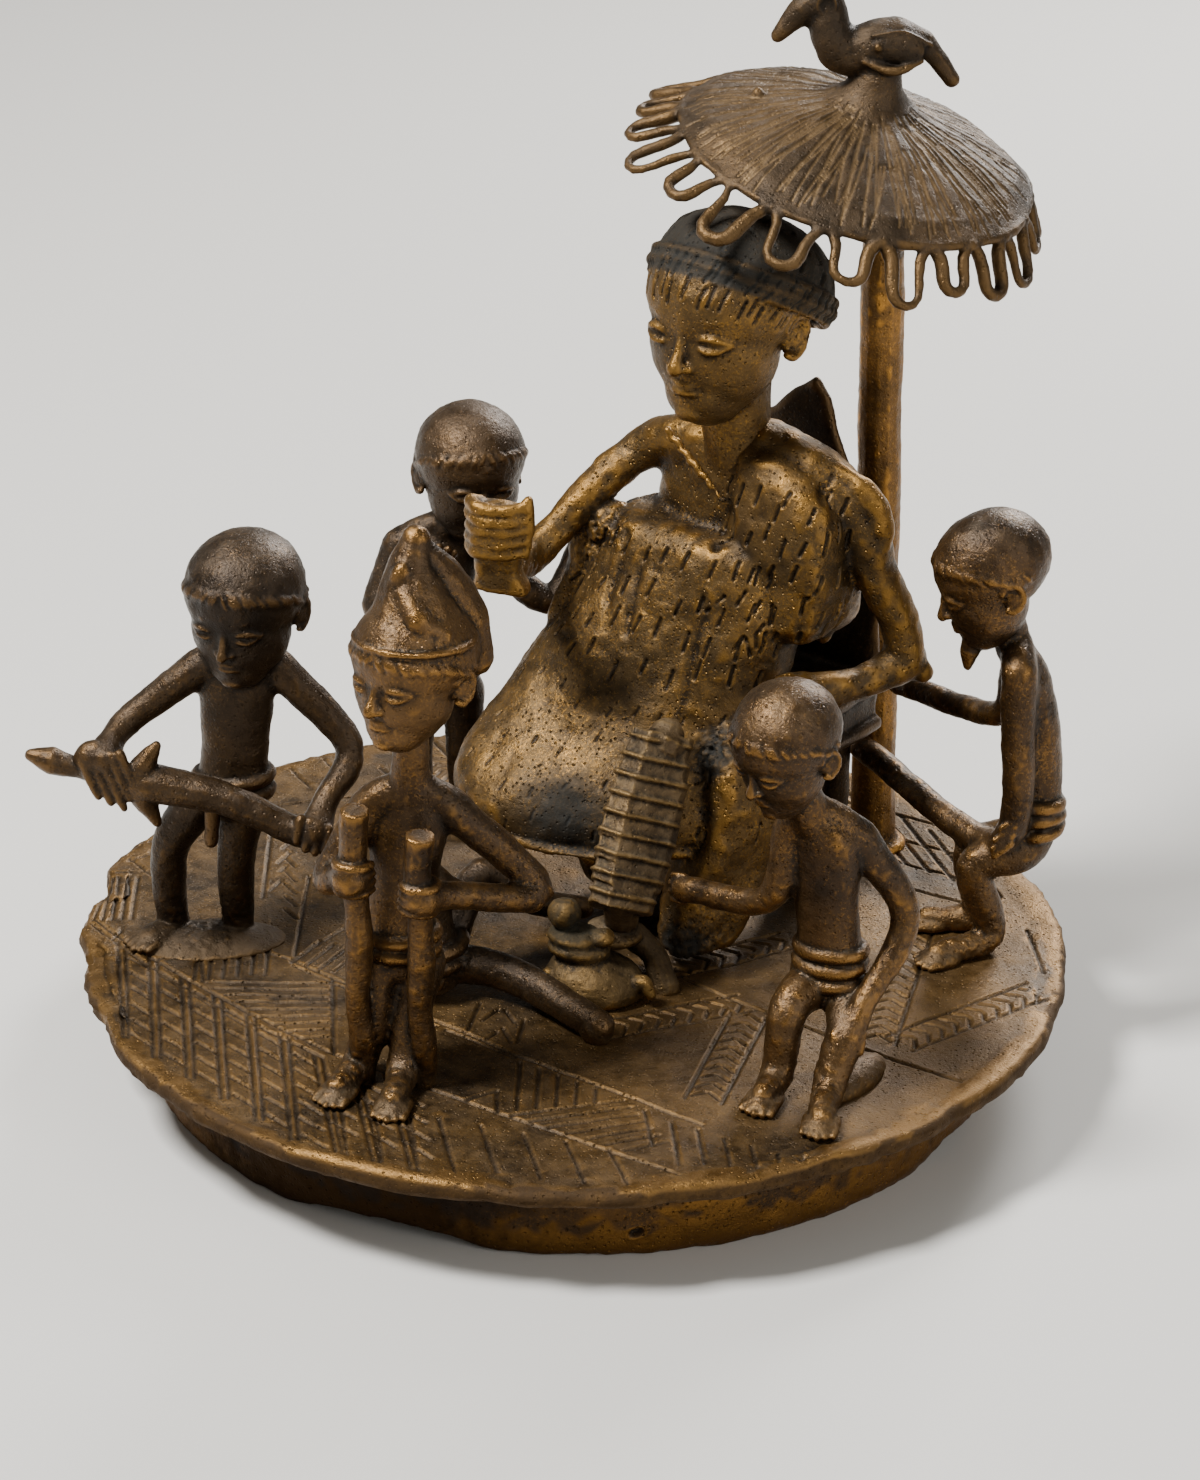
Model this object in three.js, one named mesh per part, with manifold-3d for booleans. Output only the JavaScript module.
// A cast brass court group on a round engraved stand: a large seated chief under an umbrella,
// served by six small attendants. Millimetres, +Z up. The origin is on the surface the stand
// rests on, under the middle of the group's whole width and depth. +X is the viewer's right and -Y is the front.
import * as THREE from 'three';
import * as BufferGeometryUtils from 'three/addons/utils/BufferGeometryUtils.js';
import Module from 'manifold-3d';

const wasm = await Module();
wasm.setup();

// ---- driving dimensions ----
const PLATE_RADIUS = 90;
const PLATE_TOP = 20;
const PLATE_THICKNESS = 3.6;
const FOOT_RADIUS = 78;
const FOOT_WALL = 5;
const GAP = 0.3;
const FLOOR = PLATE_TOP + GAP;
const LIMB_SIDES = 5;
const STAND_SIDES = 36;
const PLATE_CENTRE = [2.1, 0.7]; // the sword's grip and the worn rim put the plate off the middle
const CHIEF_TURN = -36; // degrees; the chief looks to the viewer's left
const POLE_FOOT = [57, 41];
const POLE_TOP = [52, 36, 168];
const POLE_RADIUS = 4.2;
const CANOPY_CENTRE = [47.2, 34.2, 158];
const CANOPY_RADIUS = 32.2;
const CANOPY_LEAN = [8, 12]; // degrees towards the viewer and towards the viewer's right
const FRINGE_LOOPS = 21;
const ROOF_SIDES = 20;
const HUB = 5.4; // height of the canopy's flat inner hub above the rim

const rad = THREE.MathUtils.degToRad;
const vec = (p) => new THREE.Vector3(...p);
const turnZ = (p, degrees) => vec(p).applyAxisAngle(new THREE.Vector3(0, 0, 1), rad(degrees)).toArray();

// ---- solids: closed meshes in, closed meshes out ----
function solid(geometry) {
  const bare = geometry.clone();
  bare.deleteAttribute('normal');
  bare.deleteAttribute('uv');
  const merged = BufferGeometryUtils.mergeVertices(bare, 1e-4);
  return new wasm.Manifold(new wasm.Mesh({
    numProp: 3,
    vertProperties: new Float32Array(merged.attributes.position.array),
    triVerts: new Uint32Array(merged.index.array),
  }));
}

function join(parts) {
  return parts.reduce((whole, part) => whole.add(part));
}

function toMesh(name, whole, colour, roughness) {
  const out = whole.getMesh();
  const geometry = new THREE.BufferGeometry();
  const places = [];
  for (let i = 0; i < out.numVert; i += 1) {
    const at = i * out.numProp;
    places.push(out.vertProperties[at], out.vertProperties[at + 1], out.vertProperties[at + 2]);
  }
  geometry.setAttribute('position', new THREE.Float32BufferAttribute(places, 3));
  geometry.setIndex(Array.from(out.triVerts));
  geometry.computeVertexNormals();
  const material = new THREE.MeshStandardMaterial({ color: colour, roughness, metalness: 0.9 });
  const mesh = new THREE.Mesh(geometry, material);
  mesh.name = name;
  return mesh;
}

// A closed skin over a stack of rings that all have the same number of points.
function skin(rings) {
  const count = rings[0].length;
  const places = rings.flat().flatMap((p) => [p.x, p.y, p.z]);
  const faces = [];
  for (let r = 0; r < rings.length - 1; r += 1) {
    for (let i = 0; i < count; i += 1) {
      const j = (i + 1) % count;
      const [a, b, c, d] = [r * count + i, r * count + j, (r + 1) * count + j, (r + 1) * count + i];
      faces.push(a, b, c, a, c, d);
    }
  }
  const middle = (ring) => ring.reduce((sum, p) => sum.add(p), new THREE.Vector3()).divideScalar(count);
  const first = places.length / 3;
  for (const ring of [rings[0], rings.at(-1)]) places.push(...middle(ring).toArray());
  const top = (rings.length - 1) * count;
  for (let i = 0; i < count; i += 1) {
    const j = (i + 1) % count;
    faces.push(first, j, i, first + 1, top + i, top + j);
  }
  const geometry = new THREE.BufferGeometry();
  geometry.setAttribute('position', new THREE.Float32BufferAttribute(places, 3));
  geometry.setIndex(faces);
  return geometry;
}

// A round limb along a smooth path; the thickness at each given point is its radius.
function limb(path, radii, { sides = LIMB_SIDES, steps = 1, round = 0.5 } = {}) {
  const curve = new THREE.CatmullRomCurve3(path.map(vec), false, 'centripetal');
  const spans = path.length - 1;
  const count = spans * steps;
  const rings = [];
  let side = null;
  const ring = (centre, along, radius) => {
    if (side === null) {
      side = Math.abs(along.z) < 0.9 ? new THREE.Vector3(0, 0, 1) : new THREE.Vector3(1, 0, 0);
    }
    side.addScaledVector(along, -side.dot(along)).normalize();
    const other = new THREE.Vector3().crossVectors(along, side);
    const points = [];
    for (let i = 0; i < sides; i += 1) {
      const angle = (i / sides) * 2 * Math.PI;
      points.push(centre.clone().addScaledVector(side, Math.cos(angle) * radius)
        .addScaledVector(other, Math.sin(angle) * radius));
    }
    return points;
  };
  for (let s = 0; s <= count; s += 1) {
    const t = s / count;
    const span = Math.min(Math.floor(t * spans), spans - 1);
    const radius = THREE.MathUtils.lerp(radii[span], radii[span + 1], t * spans - span);
    const along = curve.getTangent(t).normalize();
    const centre = curve.getPoint(t);
    if (s === 0 && round > 0) {
      rings.push(ring(centre.clone().addScaledVector(along, -radius * round), along, radius * 0.55));
    }
    rings.push(ring(centre, along, radius));
    if (s === count && round > 0) {
      rings.push(ring(centre.clone().addScaledVector(along, radius * round), along, radius * 0.55));
    }
  }
  return solid(skin(rings));
}

// An egg with its own half widths, turned about X and then about Z.
function egg(at, half, { turn = 0, nod = 0, across = 6, down = 5 } = {}) {
  const geometry = new THREE.SphereGeometry(1, across, down);
  geometry.rotateX(Math.PI / 2);
  geometry.scale(...half);
  geometry.rotateX(rad(nod));
  geometry.rotateZ(rad(turn));
  geometry.translate(...at);
  return solid(geometry);
}

// A stack of level sections, each an ellipse or a rounded box: centre, half widths and turn.
function stackShape(sections, count, square = 2) {
  const rings = sections.map(({ at, half, turn = 0 }) => {
    const points = [];
    for (let i = 0; i < count; i += 1) {
      const angle = (i / count) * 2 * Math.PI;
      const reach = (value) => Math.sign(value) * Math.abs(value) ** (2 / square);
      const across = reach(Math.cos(angle)) * half[0];
      const deep = reach(Math.sin(angle)) * half[1];
      const [x, y] = turnZ([across, deep, 0], turn);
      points.push(new THREE.Vector3(at[0] + x, at[1] + y, at[2]));
    }
    return points;
  });
  return skin(rings);
}

const stack = (sections, count, square) => solid(stackShape(sections, count, square));

function slab(at, size, turn = 0) {
  const geometry = new THREE.BoxGeometry(...size);
  geometry.rotateZ(rad(turn));
  geometry.translate(...at);
  return solid(geometry);
}

// What lies on the plate is trimmed level just above it.
const belowPlate = slab([0, 0, FLOOR - 20], [400, 400, 40]);
const onPlate = (whole) => whole.subtract(belowPlate);

// ---- the stand: a round plate and its rough foot ring, hollow below ----
const bump = (angle, centre, width) => Math.max(0, 1 - Math.abs(angle - centre) / width);

function rimWear(angle) {
  const chips = 4 * bump(angle, 172, 8) + 2.8 * bump(angle, 188, 7) + 2.2 * bump(angle, 202, 7)
    + 1.6 * bump(angle, 152, 8);
  return 0.5 * Math.sin(rad(angle * 3 + 40)) + 0.35 * Math.sin(rad(angle * 7)) - chips;
}

function footLift(angle) {
  return 6 * bump(angle, 247, 14) + 3 * bump(angle, 330, 8) + 1.5 * bump(angle, 200, 8)
    + 2 * bump(angle, 120, 8) + 1.5 * bump(angle, 35, 8);
}

function makeStand() {
  const under = PLATE_TOP - PLATE_THICKNESS;
  const outline = [
    [0, under], [FOOT_RADIUS - FOOT_WALL - 3, under], [FOOT_RADIUS - FOOT_WALL, under - 3],
    [FOOT_RADIUS - FOOT_WALL, 0], [FOOT_RADIUS - 1.5, 0], [FOOT_RADIUS, 1.5], [FOOT_RADIUS, under],
    [PLATE_RADIUS - 1.5, under], [PLATE_RADIUS, under + 1], [PLATE_RADIUS, PLATE_TOP - 1],
    [PLATE_RADIUS - 1.2, PLATE_TOP], [0, PLATE_TOP],
  ].map(([x, y]) => new THREE.Vector2(x, y));
  const geometry = new THREE.LatheGeometry(outline, STAND_SIDES);
  geometry.rotateX(Math.PI / 2);
  const place = geometry.attributes.position;
  for (let i = 0; i < place.count; i += 1) {
    const [x, y, z] = [place.getX(i), place.getY(i), place.getZ(i)];
    const angle = (THREE.MathUtils.radToDeg(Math.atan2(y, x)) + 360) % 360;
    const reach = Math.hypot(x, y);
    if (reach > PLATE_RADIUS - 4) {
      const scale = (reach + rimWear(angle)) / reach;
      place.setXYZ(i, x * scale, y * scale, z);
    } else if (reach > 1 && z < 2) {
      place.setZ(i, z + footLift(angle));
    }
  }
  return solid(geometry);
}

// ---- figures ----
// A head with a plain face: skull, jaw, ears and nose, and on a large head the lips and lids too.
function head(at, height, { turn = 0, nod = 0, slim = 1, large = false } = {}) {
  const wide = height * 0.38 * slim;
  const place = (x, y, z) => {
    const local = new THREE.Vector3(x * height, y * height, z * height);
    local.applyAxisAngle(new THREE.Vector3(1, 0, 0), rad(nod));
    local.applyAxisAngle(new THREE.Vector3(0, 0, 1), rad(turn));
    return local.add(vec(at)).toArray();
  };
  const facing = { turn, nod };
  const small = { ...facing, across: 4, down: 2 };
  const parts = [
    egg(place(0, 0.05, 0.12), [wide, height * 0.42, height * 0.38], { ...facing, across: 8, down: 5 }),
    egg(place(0, -0.08, -0.18), [wide * 0.84, height * 0.28, height * 0.32], { ...facing, down: 4 }),
    limb([place(0, -0.3, 0.08), place(0, -0.38, -0.1)], [height * 0.03, height * 0.07],
      { sides: 4, round: 0 }),
  ];
  for (const side of [-1, 1]) {
    parts.push(egg(place(side * 0.36 * slim, 0.06, -0.03), [height * 0.07, height * 0.1, height * 0.14], small));
  }
  if (large) {
    parts.push(egg(place(0, -0.32, -0.25), [height * 0.12, height * 0.05, height * 0.045], small));
    for (const side of [-1, 1]) {
      parts.push(egg(place(side * 0.155 * slim, -0.28, 0.04), [height * 0.1, height * 0.07, height * 0.06], small));
    }
  }
  return join(parts);
}

// Rolled cloth or beads around the waist, as level sections that take the place of the body's own.
const ROLL = 1.5; // radius of one roll

function withBelt(body, { at, half, rolls }) {
  const [x, y, low] = at;
  const valley = (z) => ({ at: [x, y, z], half: [half[0] * 0.95, half[1] * 0.95] });
  const belt = [valley(low - ROLL)];
  for (let i = 0; i < rolls; i += 1) {
    const z = low + i * ROLL * 2;
    belt.push({ at: [x, y, z], half: [half[0] + ROLL * 0.7, half[1] + ROLL * 0.7] }, valley(z + ROLL));
  }
  const [bottom, top] = [belt[0].at[2], belt.at(-1).at[2]];
  return [
    ...body.filter((level) => level.at[2] < bottom - 0.5), ...belt,
    ...body.filter((level) => level.at[2] > top + 0.5),
  ];
}

// A small attendant, described around the spot of the plate that the figure stands on.
function attendant(spot, pose) {
  const from = ([x, y, z]) => [spot[0] + x, spot[1] + y, PLATE_TOP + z];
  const parts = [];
  const levels = [...withBelt(pose.body, pose.belt), { at: pose.neck, half: [2.9, 2.9] }];
  parts.push(stack(levels.map(({ at, half }) => ({ at: from(at), half, turn: pose.turn })), 8));
  parts.push(head(from(pose.head.at), pose.head.height, pose.head));
  for (const arm of pose.arms) {
    parts.push(limb(arm.path.map(from), arm.radii ?? [3.4, 2.7, 2.4, 3.6], { round: 0.4 }));
  }
  for (const leg of pose.legs) {
    parts.push(limb(leg.path.map(from), leg.radii ?? [4.4, 3.5, 3, 2.4], { round: 0.4 }));
  }
  for (const extra of pose.extras ?? []) parts.push(extra(from));
  return onPlate(join(parts));
}

function swordBearer() {
  const blade = (from) => {
    const tip = from([26, -12.5, 24]);
    const hilt = from([-12, -10, 36]);
    return join([
      limb([from([-27, -9, 38]), from([-22, -9, 37]), from([-13, -10, 36])], [2.6, 1.9, 1.9], { steps: 2 }),
      limb([hilt, from([4, -11, 33]), tip], [4.2, 3.2, 2.8], { sides: 5, steps: 2 }),
      limb([from([-9, -10.5, 43.5]), from([-10, -10.5, 36]), from([-9, -11, 28.5])], [1.6, 3.2, 1.6], { sides: 5 }),
    ]);
  };
  return attendant([-66, -3], {
    turn: -6,
    body: [
      { at: [4.5, 0, 24], half: [6.5, 4.8] }, { at: [5.2, 0, 29], half: [7.4, 5.4] },
      { at: [5.5, 0, 35], half: [5.8, 4.4] }, { at: [6, 0.5, 46], half: [6.8, 4.6] },
      { at: [6.3, 1, 52], half: [7.6, 4.2] }, { at: [6.5, 1, 56], half: [4, 3.2] },
    ],
    neck: [7, 0, 59],
    head: { at: [7.6, -1.5, 65.5], height: 27, turn: -18, nod: 12 },
    arms: [
      { path: [[-0.5, 1, 53], [-12, -1, 44], [-15.5, -6, 41.5], [-16.5, -9.5, 39]] },
      { path: [[13.5, 1, 53], [26, -1, 39], [22, -8, 31], [20.5, -12, 27.5]] },
    ],
    legs: [
      { path: [[-0.5, 0.5, 28], [-6.5, 0, 17], [-6.3, 1, 2]], radii: [4.4, 3.5, 3] },
      { path: [[7, 0.5, 27], [5.4, 0, 15], [5.5, 1, 2]], radii: [4.4, 3.5, 3] },
    ],
    belt: { at: [5.2, 0, 31], half: [7, 5], rolls: 1 },
    extras: [
      blade,
      // both feet run into one low mound
      (from) => egg(from([0, -2, 0.5]), [13, 7, 4.2], { across: 9, down: 4 }),
      // the short end of the belt
      (from) => limb([from([2, -5, 29]), from([1.6, -5.6, 22])], [1.5, 1.5], { sides: 5 }),
    ],
  });
}

function staffBearer() {
  const staff = (from, foot_, top) => limb([from(foot_), from([
    (foot_[0] + top[0]) / 2, (foot_[1] + top[1]) / 2, (foot_[2] + top[2]) / 2]), from(top)],
  [2.3, 2.4, 2.6], { round: 0 });
  return attendant([-33, -56], {
    turn: -12,
    body: [
      { at: [4.5, 6, 17], half: [6, 4.6] }, { at: [4.5, 6, 22], half: [7, 5] },
      { at: [4.5, 6, 29], half: [5.6, 4.2] }, { at: [5.5, 6, 42], half: [6.4, 4.4] },
      { at: [6.2, 6, 49], half: [7.4, 4.2] }, { at: [6, 5.5, 54], half: [4, 3.2] },
    ],
    neck: [6.5, 4.5, 66],
    head: { at: [6.3, 2, 76.5], height: 26, turn: -38, nod: 4 },
    arms: [
      { path: [[-0.5, 6.5, 50], [-7.5, 3, 38], [-5, -1.5, 40.5], [-3.2, -5.5, 41.5]] },
      { path: [[12.8, 6, 50], [28, 7, 34], [13, -2.5, 37.8], [8, -6.5, 38.6]] },
    ],
    legs: [
      { path: [[1, 6, 21], [0.5, 3.5, 14], [-2, 2.5, 3.5], [-5.5, -5, 2]] },
      { path: [[8, 6, 21], [7, 3.5, 14], [5.5, -0.5, 3.5], [4, -9, 2]] },
    ],
    belt: { at: [4.5, 6, 24.5], half: [6.4, 4.8], rolls: 1 },
    extras: [
      (from) => staff(from, [-1.6, 2, -1], [-2.8, -4, 54]),
      (from) => staff(from, [8.7, 1, -1], [8, -6, 50.6]),
      // the tall cap, its peak folded back
      (from) => limb([from([7, 3, 83]), from([7.5, 4, 88]), from([8.2, 5, 92.5]), from([9, 5.5, 96.5])],
        [10, 7.6, 4.4, 2], { sides: 7 }),
      (from) => limb([from([9, 6, 93]), from([13.5, 8, 86]), from([17.5, 9, 76.5])], [2.4, 3.6, 3]),
    ],
  });
}

function drumBearer() {
  return attendant([42, -58], {
    turn: -38,
    body: [
      { at: [3, 12.5, 13], half: [6, 4.6] }, { at: [3, 12.5, 18], half: [7, 5.2] },
      { at: [2.2, 12.5, 25], half: [5.8, 4.4] }, { at: [1, 12, 37], half: [6.6, 4.6] },
      { at: [0.3, 11.5, 45], half: [7.4, 4.2] }, { at: [-1.5, 10.5, 50], half: [4, 3.2] },
    ],
    neck: [-4.5, 9, 56],
    head: { at: [-7, 7, 62.5], height: 23, turn: -48, nod: 22 },
    arms: [
      { path: [[-5, 13, 45], [-8.5, 14, 31], [-22.5, 26, 26.5]], radii: [3.2, 2.5, 2.7] },
      { path: [[6.5, 12, 44], [15, 11.5, 29.5], [8.5, 5, 17], [5.5, 2, 11]], radii: [3.3, 2.6, 2.1, 2.9] },
    ],
    legs: [
      { path: [[0, 12.5, 16], [-4.5, 6, 14], [-6, 3.5, 3.5], [-8.5, -2.5, 2]] },
      { path: [[6, 12, 15], [5.2, 3.5, 11.5], [2.5, -1.5, 3.5], [1, -9.5, 2]] },
    ],
    belt: { at: [2.6, 12.5, 18.5], half: [6.4, 4.8], rolls: 3 },
    extras: [
      (from) => egg(from([6.5, 6.5, 0.5]), [4.5, 10, 3.4], { turn: -35, across: 8, down: 4 }),
    ],
  });
}

function umbrellaBearer() {
  return attendant([72, -2], {
    turn: -75,
    body: [
      { at: [8.5, 3, 16], half: [5.4, 4.6] }, { at: [10, 3.5, 22], half: [6.4, 5.4] },
      { at: [11.8, 4, 30], half: [5, 4.2] }, { at: [10.5, 4, 42], half: [5.8, 4.4] },
      { at: [8, 4, 54], half: [6.8, 4.4] }, { at: [5.5, 4, 60], half: [3.8, 3.2] },
    ],
    neck: [3.5, 3, 66],
    head: { at: [0, 1.5, 72.5], height: 25, turn: -82, nod: 22, slim: 0.9 },
    arms: [
      { path: [[6, -2, 56], [5, -0.5, 22], [-18.7, 34.5, 24]], radii: [3.4, 2.7, 2.7] },
      { path: [[6.5, 8, 53], [3.7, 10.5, 42.5], [-12.5, 33, 38]], radii: [3, 2.4, 2.5] },
    ],
    legs: [
      { path: [[8.5, 1, 20], [0.5, 0, 16.5], [4, -0.3, 3.5], [-5.5, -5.5, 2]] },
      { path: [[8.5, 6, 20], [0.5, 7.5, 16], [2.5, 8, 3.5], [-6.5, 8.5, 2]] },
    ],
    belt: { at: [11, 3.7, 24.5], half: [5.8, 4.8], rolls: 3 },
    extras: [
      // beard
      (from) => limb([from([-6.5, -0.5, 64]), from([-8, -1.5, 59.5])], [2.6, 1.2], { sides: 5 }),
    ],
  });
}

function courtAttendant() {
  return attendant([-26, 50], {
    turn: 8,
    body: [
      { at: [0, 0, 24], half: [7, 5] }, { at: [0, 0, 29], half: [7.8, 5.4] },
      { at: [-0.5, 0, 36], half: [6.6, 4.8] }, { at: [-0.8, 0, 48], half: [8.2, 5.2] },
      { at: [-1, 0, 55], half: [8.2, 4.6] }, { at: [0.5, 0, 60], half: [4.2, 3.4] },
    ],
    neck: [3.5, -1, 64],
    head: { at: [5.5, -2, 71], height: 26, turn: 18, nod: 8 },
    arms: [
      { path: [[-8, 0.5, 55], [-12, -3.5, 43], [-1.5, -7, 56]], radii: [3.6, 2.8, 3] },
      { path: [[8, 0, 56], [20, -4.5, 46.5], [26, 3, 55]], radii: [3.4, 2.7, 2.6] },
    ],
    legs: [
      { path: [[-4, 0, 26], [-5, -0.5, 14], [-4.5, 0, 3.5], [-5.5, -7, 2]] },
      { path: [[4, 0, 26], [4.5, -0.5, 14], [4.5, 0, 3.5], [5.5, -7, 2]] },
    ],
    belt: { at: [0, 0, 31], half: [7.4, 5.2], rolls: 2 },
  });
}

function seatedAttendant() {
  return attendant([-24, -23], {
    turn: 20,
    body: [
      { at: [-1, 0, -1], half: [6.5, 6] }, { at: [-1, 0, 9], half: [6.6, 5.6] },
      { at: [-1.6, -1, 14], half: [5, 4.2] }, { at: [-2.4, -2.5, 21], half: [6, 4] },
      { at: [-2.8, -3, 25], half: [3.6, 3] },
    ],
    neck: [-3, -4, 29],
    head: { at: [-3, -5, 35.5], height: 16, turn: 25, nod: 8 },
    arms: [
      { path: [[-7, -2.5, 22], [-8.5, 2, 14], [-3, 6, 10]], radii: [2.6, 2.1, 2.2] },
      { path: [[2, -2.5, 22], [7, 2, 18], [7.5, 7, 18.5]], radii: [2.6, 2.1, 2.2] },
    ],
    legs: [
      { path: [[1, 1, 6], [14, -2, 5], [29.5, -16.5, 3.2]], radii: [3.8, 3.3, 2.9] },
      { path: [[2, 4, 7], [8, 10, 19], [16, 12.5, 12.5], [26, 16.5, 9]], radii: [3.4, 3, 2.6, 2.2] },
    ],
    belt: { at: [-1, 0, 8], half: [6.8, 5.8], rolls: 2 },
  });
}

// ---- the chief ----
// The cap sits back on the head: its brim is high over the brow and low at the nape.
function chiefHead() {
  const level = (z, across, deep) => ({ at: [0, 0, z], half: [across, deep] });
  const cap = stackShape([
    level(-2, 15, 15.4), level(1, 17.2, 17.8), level(3.4, 15.8, 16.4), level(9, 13, 13.6), level(13, 6.5, 7),
  ], 12);
  cap.rotateX(rad(-28));
  cap.rotateZ(rad(CHIEF_TURN));
  cap.translate(27.2, 21.8, 138.2);
  const neck = limb([[28.5, 23.5, 102], [27, 21.5, 123]], [6.4, 5.8], { sides: 8, round: 0 });
  return join([head([24.2, 18, 133.2], 36.5, { turn: CHIEF_TURN, nod: 4, slim: 1.02, large: true }), solid(cap), neck]);
}

function chiefBody() {
  const level = (x, y, z, across, deep) => ({ at: [x, y, z], half: [across, deep], turn: CHIEF_TURN });
  const torso = stack([
    level(28, 25, 80, 16, 9.5), level(28, 25, 89, 16, 9.2), level(28.5, 24.5, 97, 18.5, 9),
    level(28.6, 24, 101.5, 16.5, 8), level(28.6, 23.5, 107, 7.5, 6.4),
  ], 10);
  // cloth over the left shoulder, thicker than the bare side
  const drape = stack([
    level(34, 20, 80, 13.5, 11.5), level(35, 19.5, 90, 13.5, 11.5), level(37, 18.5, 98, 13.5, 10.8),
    level(36.6, 18, 104, 11.5, 9), level(34, 20.5, 108, 6, 6),
  ], 9, 2.2);
  return join([
    torso, drape,
    limb([[12, 36, 99.5], [-8.5, 25, 81.5], [-12.5, 4, 94]], [4.6, 3.8, 3.5], { sides: 6 }),
    limb([[47, 11.5, 99], [60, 12, 69.5], [37, 0.5, 70.5]], [5.2, 3.9, 3.9], { sides: 6 }),
    // the raised fist
    stack([
      { at: [-13, 3, 91], half: [4, 3.8], turn: -20 }, { at: [-13.5, 1, 94], half: [5.2, 4.8], turn: -20 },
      { at: [-14, 0, 104], half: [5.2, 4.8], turn: -20 }, { at: [-14, 0, 106], half: [4.2, 3.8], turn: -20 },
    ], 8, 3),
    // small discs on the elbows and the rolled end of the cloth on the shoulder
    egg([-11.5, 23.5, 80], [2.4, 2.4, 2.4], { across: 4, down: 3 }),
    egg([62.5, 11.5, 68], [2.4, 2.4, 2.4], { across: 4, down: 3 }),
    limb([[52, 8.5, 104], [54, 8.5, 96]], [2.8, 2.4], { sides: 5 }),
  ]);
}

function chiefRobe() {
  const skirt = stack([
    { at: [6, 13, 37.5], half: [20, 15], turn: -12 }, { at: [5.5, 12, 41], half: [26, 18.2], turn: -12 },
    { at: [5.5, 12.8, 46.5], half: [28, 19.2], turn: -12 }, { at: [7, 16.4, 53], half: [26, 18.2], turn: -14 },
    { at: [12.5, 21.6, 61], half: [25, 16.4], turn: -18 }, { at: [17.5, 21, 70], half: [23.5, 15], turn: -24 },
    { at: [22.5, 22.5, 80], half: [22, 13], turn: -34 }, { at: [25, 24, 88], half: [21, 11.5], turn: CHIEF_TURN },
    { at: [25.5, 24.5, 90.5], half: [19, 10], turn: CHIEF_TURN },
  ], 12, 2.4);
  // the shaded part below the hem
  const inner = stack([
    { at: [13, 17, 18], half: [13, 11] }, { at: [13, 17, 40], half: [15, 12] },
  ], 10);
  // the left side falls to the plate as a rough tongue
  const tongue = stack([
    { at: [22, -7, 18], half: [7, 3.4], turn: 30 }, { at: [25.5, -1.5, 32], half: [9, 5.5], turn: 35 },
    { at: [30.5, 2.5, 48], half: [9.4, 7.2], turn: 35 }, { at: [31, 7, 66], half: [9, 8], turn: 30 },
  ], 10, 2.6);
  // cloth bunched at the waist
  const bunch = join([
    limb([[4, 34, 86.5], [10, 29, 89.5], [20, 19, 90], [34, 10, 89]], [4, 4.2, 3.2, 2.8]),
    limb([[2.5, 33, 88], [3, 31, 80], [-1.5, 27, 72]], [4, 4, 2.6]),
  ]);
  return join([skirt, inner, tongue, bunch]);
}

// ---- the chair: seat, legs and pointed back, all set square to the chief ----
const CHAIR_AT = [36, 30.5];

function makeChair(grow = 0) {
  const place = (across, back, z) => {
    const [x, y] = turnZ([across, back, 0], CHIEF_TURN);
    return [CHAIR_AT[0] + x, CHAIR_AT[1] + y, z];
  };
  const thick = 2.2 + 2 * grow;
  const outline = new THREE.Shape([[-15, 52], [15, 52], [15, 86], [7.6, 98], [0, 114], [-16, 99]]
    .map(([x, z]) => new THREE.Vector2(x + Math.sign(x) * grow, z + (z > 50 ? grow : -grow))));
  const back = new THREE.ExtrudeGeometry(outline, { depth: thick, bevelEnabled: false });
  back.rotateX(Math.PI / 2);
  back.translate(0, 10.6 + thick / 2 - grow, 0);
  back.rotateZ(rad(CHIEF_TURN));
  back.translate(CHAIR_AT[0], CHAIR_AT[1], 0);
  const parts = [
    solid(back),
    slab(place(0, 0, 55), [34 + 2 * grow, 20 + 2 * grow, 5 + 2 * grow], CHIEF_TURN),
  ];
  // the grooved end rails under the seat
  for (const z of [51.2, 58.8]) {
    parts.push(slab(place(0, 0, z), [37 + 2 * grow, 21 + 2 * grow, 3 + 2 * grow], CHIEF_TURN));
  }
  for (const across of [-11, 11]) {
    for (const deep of [-7, 6.5]) {
      parts.push(limb([place(across, deep, FLOOR - grow), place(across, deep, 50)],
        [2.6 + grow, 2.6 + grow], { round: 0 }));
    }
  }
  return join(parts);
}

// ---- umbrella: pole, canopy with its looped wire fringe, stem and bird ----
const leanCanopy = new THREE.Matrix4()
  .makeTranslation(...CANOPY_CENTRE)
  .multiply(new THREE.Matrix4().makeRotationX(rad(CANOPY_LEAN[0])))
  .multiply(new THREE.Matrix4().makeRotationY(rad(CANOPY_LEAN[1])));

function makeCanopy() {
  const radius = CANOPY_RADIUS;
  const outline = [
    [0, HUB], [10.5, HUB], [19, 3.6], [radius - 1.5, -1.4], [radius, 0.4], [24, 4.1], [14, 7.4], [4, 10], [0, 11.4],
  ].map(([x, y]) => new THREE.Vector2(x, y));
  const roof = new THREE.LatheGeometry(outline, ROOF_SIDES);
  roof.rotateX(Math.PI / 2);
  roof.applyMatrix4(leanCanopy);
  return join([solid(roof), fringe(), bird()]);
}

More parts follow.
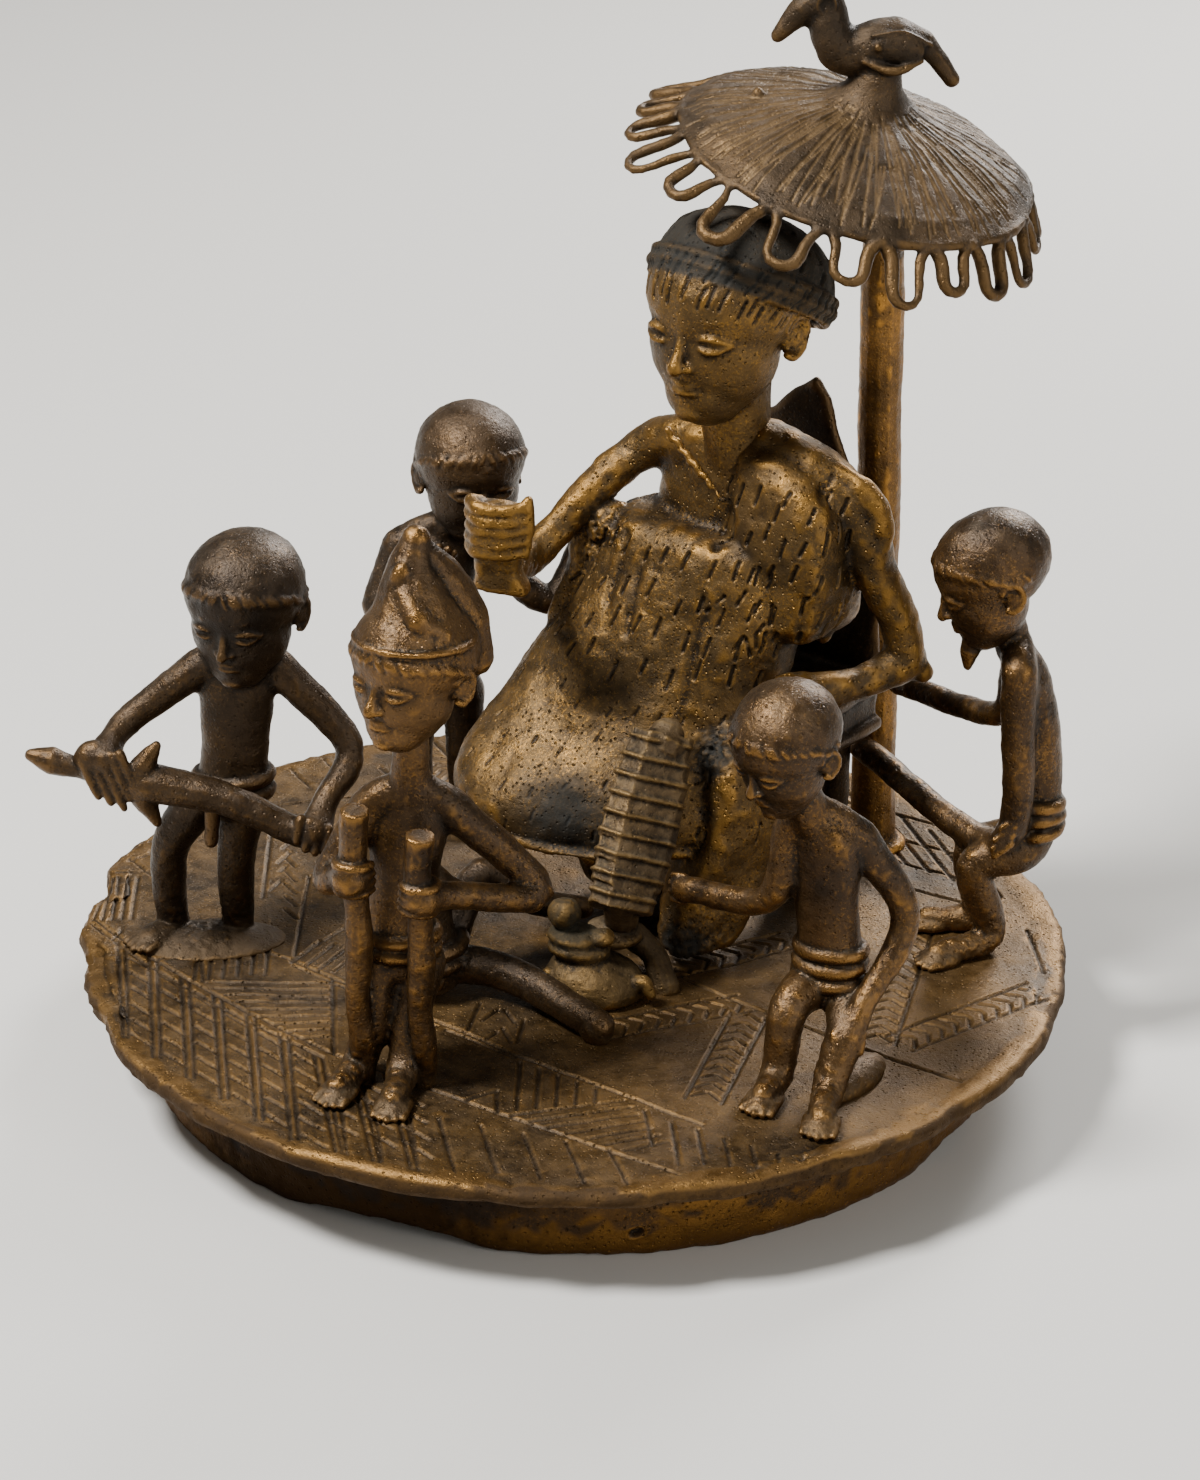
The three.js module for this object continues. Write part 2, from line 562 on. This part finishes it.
// One wire waves in and out around the rim.
function fringe() {
  const stepsPerLoop = 6;
  const sides = 3;
  const wire = 1.2;
  const centre = (t) => {
    const angle = t * 2 * Math.PI;
    const wave = 0.5 - 0.5 * Math.cos(t * FRINGE_LOOPS * 2 * Math.PI);
    const swing = Math.sin(t * FRINGE_LOOPS * 4 * Math.PI) * 0.018;
    // the loops stand out on the viewer's left and hang on the right
    const splay = 0.5 - 0.5 * Math.cos(angle);
    const reach = CANOPY_RADIUS - 0.4 + (4.6 + 4.6 * splay) * wave;
    const drop = -0.9 - (8.2 - 3.4 * splay) * wave;
    const around = angle + swing;
    return new THREE.Vector3(Math.cos(around) * reach, Math.sin(around) * reach, drop);
  };
  const count = FRINGE_LOOPS * stepsPerLoop;
  const places = [];
  const faces = [];
  for (let s = 0; s < count; s += 1) {
    const here = centre(s / count);
    const along = centre((s + 0.5) / count).sub(centre((s - 0.5) / count)).normalize();
    const out = new THREE.Vector3(here.x, here.y, CANOPY_RADIUS * 0.8).normalize();
    const side = out.clone().addScaledVector(along, -out.dot(along)).normalize();
    const other = new THREE.Vector3().crossVectors(along, side);
    for (let i = 0; i < sides; i += 1) {
      const angle = (i / sides) * 2 * Math.PI;
      places.push(...here.clone().addScaledVector(side, Math.cos(angle) * wire)
        .addScaledVector(other, Math.sin(angle) * wire).toArray());
      const [next, j] = [(s + 1) % count, (i + 1) % sides];
      const [a, b, c, d] = [s * sides + i, s * sides + j, next * sides + j, next * sides + i];
      faces.push(a, b, c, a, c, d);
    }
  }
  const geometry = new THREE.BufferGeometry();
  geometry.setAttribute('position', new THREE.Float32BufferAttribute(places, 3));
  geometry.setIndex(faces);
  geometry.applyMatrix4(leanCanopy);
  return solid(geometry);
}

// The bird faces the viewer's left with its beak down and its tail drooping behind.
function bird() {
  const foot_ = vec([0, 0, 10]).applyMatrix4(leanCanopy).toArray();
  const from = (x, y, z) => [foot_[0] + x, foot_[1] + y, foot_[2] + z];
  return join([
    limb([from(0, 0, -1), from(0.3, 0, 5), from(0.6, 0, 9)], [3, 2, 2.8], { round: 0 }),
    limb([from(-5.5, -0.5, 11.5), from(-1, 0, 9.5), from(5, 0, 9), from(10.5, 0.5, 6.4), from(13.5, 1, 3.2)],
      [2.6, 4.4, 3.8, 1.9, 1]),
    limb([from(-4.5, -0.5, 10.5), from(-7.6, -1, 14.5), from(-7, -1, 19)], [2.9, 2.1, 2.6]),
    limb([from(-7, -1, 19.5), from(-11.5, -2, 18), from(-15.5, -3, 13.5)], [2.9, 2, 0.8]),
    egg(from(0.5, -1, 14), [1.3, 1.3, 1.6], { across: 5, down: 3 }),
  ]);
}

function makePole(grow = 0) {
  const middle = [(POLE_FOOT[0] + POLE_TOP[0]) / 2, (POLE_FOOT[1] + POLE_TOP[1]) / 2, 90];
  const pole = join([
    limb([[...POLE_FOOT, 18], [middle[0] + 0.6, middle[1], 60], middle, POLE_TOP],
      [1.06, 1, 0.97, 0.94].map((part) => POLE_RADIUS * part + grow), { sides: 10, round: 0 }),
    // the lump where the canopy is fixed, and the low collar at the plate
    egg([POLE_TOP[0] + 4, POLE_TOP[1] - 2, 146], [4, 3.5, 6]),
    egg([...POLE_FOOT, PLATE_TOP], [7, 7, 3], { across: 9, down: 4 }),
  ]);
  // everything above the hub's flat underside is taken off, less the fitting gap
  const above = new THREE.BoxGeometry(60, 60, 60);
  above.translate(0, 0, 30 + HUB - GAP);
  above.applyMatrix4(leanCanopy);
  return onPlate(pole.subtract(solid(above)));
}

// ---- things on the plate ----
// The ribbed drum leans back towards the chief's lap, over a neck, a flange and a strut.
function makeDrum() {
  const long = 32;
  const ribs = 10;
  const pitch = long / ribs;
  const level = (z, across, deep) => [[-1, -1], [1, -1], [1, 1], [-1, 1]]
    .map(([x, y]) => new THREE.Vector3(x * across, y * deep, z));
  const rings = [];
  for (let i = 0; i < ribs; i += 1) {
    const z = i * pitch;
    rings.push(level(z, 5.7, 2.9), level(z + pitch * 0.3, 6.3, 3.4), level(z + pitch * 0.6, 5.7, 2.9));
  }
  rings.push(level(long, 5.6, 2.8));
  const box = skin(rings);
  const knob = new THREE.SphereGeometry(2.5, 6, 4);
  knob.translate(1.5, 0, long + 0.6);
  const lean = new THREE.Matrix4().makeTranslation(8.7, -21.5, 36.5)
    .multiply(new THREE.Matrix4().makeRotationY(rad(10)))
    .multiply(new THREE.Matrix4().makeRotationX(rad(-35)))
    .multiply(new THREE.Matrix4().makeRotationZ(rad(20)));
  box.applyMatrix4(lean);
  knob.applyMatrix4(lean);
  return onPlate(join([
    solid(box), solid(knob),
    limb([[8.9, -18.8, 38.5], [9.2, -14.6, 29]], [3.4, 2.6], { round: 0 }),
    stack([
      { at: [9.4, -14, 26.6], half: [3.4, 3.2] }, { at: [9.4, -14, 28], half: [4.5, 4] },
      { at: [9.2, -14.6, 30], half: [4, 3.6] },
    ], 8),
    limb([[11, -14.5, 28.5], [15, -16.5, 25], [17, -19.5, 18]], [2.6, 2.2, 2.8], { round: 0 }),
  ]));
}

function makeJar() {
  return onPlate(join([
    stack([
      { at: [4.6, -21.5, 18], half: [9.2, 8.2] }, { at: [4.6, -21.5, 22.5], half: [9.2, 8.2] },
      { at: [2.8, -21.5, 27], half: [5.8, 5.6] }, { at: [0.2, -21.3, 31.5], half: [3.4, 3.6] },
      { at: [-0.8, -21, 34], half: [2.4, 2.4] },
    ], 12),
    egg([-1, -21, 36.2], [2.8, 2.8, 3], { across: 8, down: 6 }),
  ]));
}

// ---- the whole group ----
const chair = makeChair();
const chief = onPlate(join([chiefHead(), chiefBody(), chiefRobe()])).subtract(makeChair(GAP));
const BRONZE = 0x6b5530;
const DARK = 0x4a3c26;
const GOLD = 0x8a6a2c;

const group = new THREE.Group();
group.add(toMesh('stand', makeStand(), 0x5e5440, 0.6));
group.add(toMesh('chief', chief, BRONZE, 0.45));
group.add(toMesh('chair', chair, DARK, 0.6));
group.add(toMesh('umbrella_pole', makePole(), GOLD, 0.4));
group.add(toMesh('umbrella_canopy', makeCanopy(), 0x55493a, 0.55));
group.add(toMesh('sword_bearer', swordBearer(), DARK, 0.5));
group.add(toMesh('staff_bearer', staffBearer(), BRONZE, 0.45));
group.add(toMesh('drum_bearer', drumBearer(), DARK, 0.5));
group.add(toMesh('ribbed_drum', makeDrum(), BRONZE, 0.5));
group.add(toMesh('stoppered_jar', makeJar(), 0x66653c, 0.55));
group.add(toMesh('seated_attendant', seatedAttendant(), DARK, 0.55));
group.add(toMesh('umbrella_bearer', umbrellaBearer().subtract(makePole(GAP)), BRONZE, 0.5));
group.add(toMesh('court_attendant', courtAttendant(), DARK, 0.5));

group.position.set(...PLATE_CENTRE, 0);
export default group;
